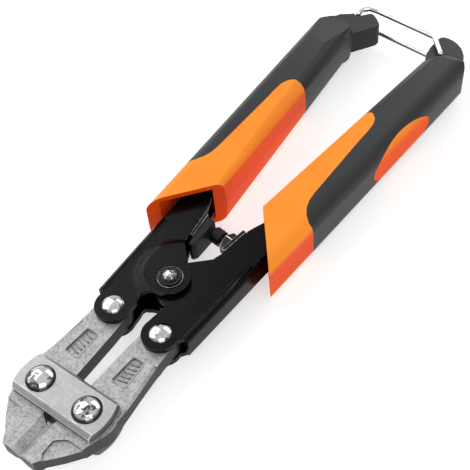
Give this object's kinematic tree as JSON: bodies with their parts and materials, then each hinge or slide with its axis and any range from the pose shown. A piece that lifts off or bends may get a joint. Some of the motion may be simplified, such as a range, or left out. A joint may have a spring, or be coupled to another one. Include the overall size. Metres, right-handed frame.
{
  "type": "bolt cutters",
  "caption": "Compact compound-action bolt cutters with strap-linked jaws, channel levers, two-colour grips and a wire latch, closed and latched.",
  "frame": {"origin": "centre of the plan outline at the level the closed tool lies on (backs of the grips and of the rear strap pin heads)", "axes": "+Y along the tool from the jaw nose to the grip ends, +X towards the right lever, +Z out of the front strap plate"},
  "size_m": [0.0625, 0.2178, 0.019],
  "materials": {
    "forged_steel": "fine sand-textured satin forging",
    "strap_steel": "satin plate",
    "polished_pins": "polished domed heads",
    "black_lever": "gloss black coating on pressed steel",
    "black_hardware": "black oxide",
    "plain_steel": "plain",
    "stop_rubber": "hard black buffer",
    "orange_shell": "smooth moulded orange",
    "black_sleeve": "soft moulded black, fine grained",
    "orange_inset": "soft orange",
    "bright_wire": "bright plated wire"
  },
  "bodies": {
    "left_lever": {"left_lever": "black_lever", "left_jaw_pin": "polished_pins", "pivot_bolt": "black_hardware", "pivot_nut": "black_hardware", "pivot_washers": "black_hardware", "pivot_bushing": "plain_steel", "return_spring": "plain_steel", "stop_plate": "black_hardware", "stop_block": "stop_rubber", "left_grip_shell": "orange_shell", "left_grip_sleeve": "black_sleeve", "left_grip_inset": "orange_inset"},
    "right_lever": {"right_lever": "black_lever", "right_jaw_pin": "polished_pins", "screw_plate": "black_hardware", "right_grip_shell": "orange_shell", "right_grip_sleeve": "black_sleeve", "right_grip_inset": "orange_inset"},
    "left_jaw": {"left_jaw": "forged_steel"},
    "right_jaw": {"right_jaw": "forged_steel"},
    "strap": {"front_strap": "strap_steel", "back_strap": "strap_steel", "strap_pins": "polished_pins"},
    "adjusting_screw": {"adjusting_screw": "black_hardware"},
    "jam_nut": {"jam_nut": "black_hardware"},
    "latch_bail": {"latch_bail": "bright_wire"}
  },
  "joints": [
    {"name": "levers_open", "type": "hinge", "parent": "left_lever", "child": "right_lever", "pos_m": [0, -0.0393, 0.0095], "axis": [0, 0, -1], "range_deg": [0, 21]},
    {"name": "left_jaw_turn", "type": "hinge", "parent": "left_lever", "child": "left_jaw", "pos_m": [-0.00945, -0.05624, 0.0095], "axis": [0, 0, -1], "range_deg": [0, 16.3]},
    {"name": "strap_turn", "type": "hinge", "parent": "left_jaw", "child": "strap", "pos_m": [-0.00912, -0.0886, 0.0095], "axis": [0, 0, 1], "range_deg": [0, 5.8]},
    {"name": "right_jaw_turn", "type": "hinge", "parent": "right_lever", "child": "right_jaw", "pos_m": [0.00945, -0.05624, 0.0095], "axis": [0, 0, 1], "range_deg": [0, 16.3]},
    {"name": "latch_swing", "type": "hinge", "parent": "right_lever", "child": "latch_bail", "pos_m": [0.0187, 0.0985, 0.0095], "axis": [0, 0, -1], "range_deg": [0, 105.5]},
    {"name": "screw_travel", "type": "slide", "parent": "right_lever", "child": "adjusting_screw", "axis": [0.9914, -0.1305, 0], "range_m": [0, 0.0009]},
    {"name": "jam_nut_turn", "type": "hinge", "parent": "right_lever", "child": "jam_nut", "pos_m": [0.00446, -0.0148, 0.0095], "axis": [0.9914, -0.1305, 0], "continuous": true}
  ],
  "couplings": [
    {"joint": "left_jaw_turn", "follows": "levers_open", "ratio": 0.7719},
    {"joint": "strap_turn", "follows": "levers_open", "ratio": 0.2719},
    {"joint": "right_jaw_turn", "follows": "levers_open", "ratio": 0.7719},
    {"joint": "latch_swing", "follows": "levers_open", "ratio": 5}
  ]
}
